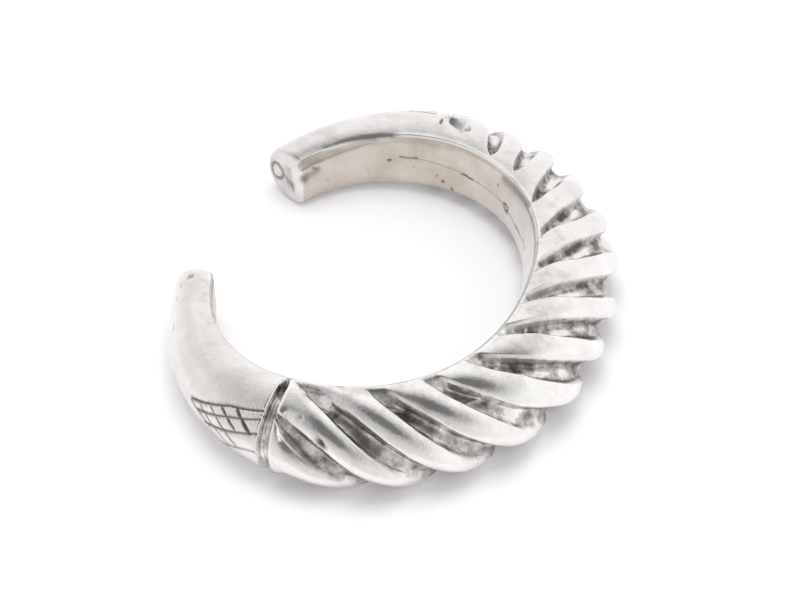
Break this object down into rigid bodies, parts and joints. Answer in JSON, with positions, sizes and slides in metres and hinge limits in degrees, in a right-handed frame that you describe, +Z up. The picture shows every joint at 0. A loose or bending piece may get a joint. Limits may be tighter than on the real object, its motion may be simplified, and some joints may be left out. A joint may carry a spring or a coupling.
{
  "type": "open cuff bangle",
  "caption": "Heavy open cuff bangle, a solid bar fluted like twisted rope round its back, with plain tapered lengths and flat ends beside the opening.",
  "frame": {"origin": "middle of the bangle's box, on the ground it lies on", "axes": "+Z up; the opening faces -X; +Y across the wrist, towards the shorter end"},
  "size_m": [0.0616, 0.0832, 0.0106],
  "materials": {
    "aged_silver": "worn cast silver with dark tarnish in the flutes"
  },
  "bodies": {
    "root": {"cuff": "aged_silver"}
  },
  "joints": []
}
